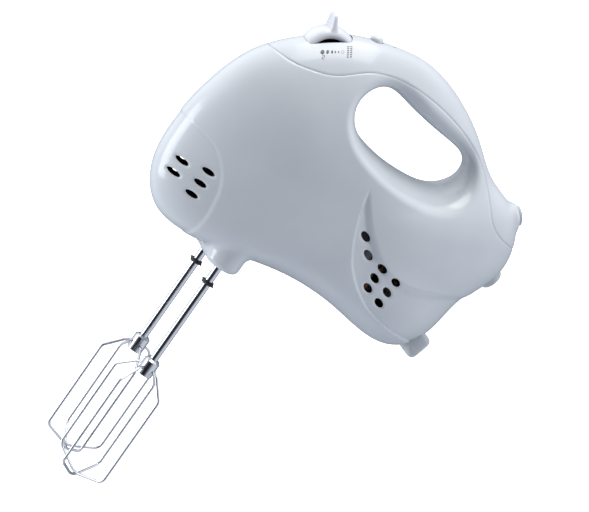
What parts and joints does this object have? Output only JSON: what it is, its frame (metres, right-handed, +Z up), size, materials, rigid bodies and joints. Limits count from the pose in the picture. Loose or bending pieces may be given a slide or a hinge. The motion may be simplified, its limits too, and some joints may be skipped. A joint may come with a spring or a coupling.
{
  "type": "hand mixer",
  "caption": "Electric hand mixer: hollow white casing with an oval grip opening, a top speed lever and turbo button, and counter-rotating wire beaters driven by a worm motor.",
  "frame": {"origin": "on the worktop, under the middle of the bounding box, with the mixer standing on its heel", "axes": "+Z up from the heel to the nose, +X the way the beaters reach (they dip 16 degrees below level), +Y the user's left when the mixer is held for use"},
  "size_m": [0.3156, 0.077, 0.2139],
  "materials": {
    "casing_white": "glossy moulded ABS",
    "control_white": "glossy moulded ABS",
    "rubber_grey": "matte soft rubber",
    "black_plastic": "matte",
    "beater_chrome": "polished",
    "disc_dark": "dark plated",
    "bearing_bronze": "sintered",
    "frame_nylon": "natural nylon",
    "gear_nylon": "natural acetal",
    "steel": "ground",
    "lamination_steel": "stacked sheet",
    "copper_wire": "enamelled copper",
    "copper_bars": "turned copper",
    "carbon": "pressed carbon",
    "brass_sheet": "stamped",
    "capacitor_yellow": "moulded"
  },
  "bodies": {
    "casing": {"housing_left": "casing_white", "housing_right": "casing_white", "top_cover": "casing_white", "heel_foot": "rubber_grey", "tail_pad": "rubber_grey", "cord_gland": "rubber_grey", "stator_core": "lamination_steel", "field_coils": "copper_wire", "motor_end_bracket": "frame_nylon", "rear_bearing": "bearing_bronze", "front_bearing": "bearing_bronze", "brush_holders": "brass_sheet", "carbon_brushes": "carbon", "brush_springs": "steel", "gearbox_frame": "frame_nylon", "lower_spindle_bushes": "bearing_bronze", "upper_spindle_bushes": "bearing_bronze", "lever_pin": "steel", "lever_bracket": "black_plastic", "speed_switch": "black_plastic", "turbo_switch": "black_plastic", "turbo_spring": "steel", "ejector_spring": "steel", "housing_screws": "steel", "noise_capacitor": "capacitor_yellow", "cord_clamp": "black_plastic"},
    "rotor": {"motor_shaft": "steel", "worm": "steel", "armature_core": "lamination_steel", "armature_windings": "copper_wire", "commutator": "copper_bars", "cooling_fan": "black_plastic"},
    "spindle_left": {"spindle_left": "steel", "detent_ring_left": "steel", "worm_gear_left": "gear_nylon"},
    "spindle_right": {"spindle_right": "steel", "detent_ring_right": "steel", "worm_gear_right": "gear_nylon"},
    "beater_left": {"beater_shaft_left": "beater_chrome", "beater_hub_left": "beater_chrome", "wire_loop_a_left": "beater_chrome", "wire_loop_b_left": "beater_chrome", "drip_disc_left": "disc_dark"},
    "beater_right": {"beater_shaft_right": "beater_chrome", "beater_hub_right": "beater_chrome", "wire_loop_a_right": "beater_chrome", "wire_loop_b_right": "beater_chrome", "drip_disc_right": "disc_dark"},
    "lever": {"speed_lever": "control_white"},
    "turbo": {"turbo_button": "control_white"},
    "ejector": {"ejector_plate": "frame_nylon"}
  },
  "joints": [
    {"name": "motor_spin", "type": "hinge", "parent": "casing", "child": "rotor", "pos_m": [-0.03703, 0, 0.14439], "axis": [0.2773, 0, 0.9608], "continuous": true},
    {"name": "left_spindle_spin", "type": "hinge", "parent": "casing", "child": "spindle_left", "pos_m": [-0.03703, 0.0176, 0.14439], "axis": [-0.9608, 0, 0.2773], "continuous": true},
    {"name": "right_spindle_spin", "type": "hinge", "parent": "casing", "child": "spindle_right", "pos_m": [-0.03703, -0.0176, 0.14439], "axis": [-0.9608, 0, 0.2773], "continuous": true},
    {"name": "speed_lever_turn", "type": "hinge", "parent": "casing", "child": "lever", "pos_m": [-0.11317, 0, 0.18063], "axis": [0, 1, 0], "range_deg": [-14, 40]},
    {"name": "turbo_press", "type": "slide", "parent": "casing", "child": "turbo", "axis": [0.8202, 0, -0.5721], "range_m": [0, 0.0025], "stiffness_N_per_m": 700, "springref_m": -0.0008, "deforming": ["turbo_spring"]},
    {"name": "eject_press", "type": "slide", "parent": "casing", "child": "ejector", "axis": [0.9608, 0, -0.2773], "range_m": [0, 0.007], "stiffness_N_per_m": 260, "springref_m": -0.009, "deforming": ["ejector_spring"]},
    {"name": "left_beater_release", "type": "slide", "parent": "spindle_left", "child": "beater_left", "axis": [0.9608, 0, -0.2773], "range_m": [0, 0.007]},
    {"name": "right_beater_release", "type": "slide", "parent": "spindle_right", "child": "beater_right", "axis": [0.9608, 0, -0.2773], "range_m": [0, 0.007]}
  ],
  "couplings": [
    {"joint": "motor_spin", "follows": "left_spindle_spin", "ratio": -34},
    {"joint": "right_spindle_spin", "follows": "left_spindle_spin", "ratio": -1},
    {"joint": "left_beater_release", "follows": "eject_press", "ratio": 1},
    {"joint": "right_beater_release", "follows": "eject_press", "ratio": 1}
  ]
}
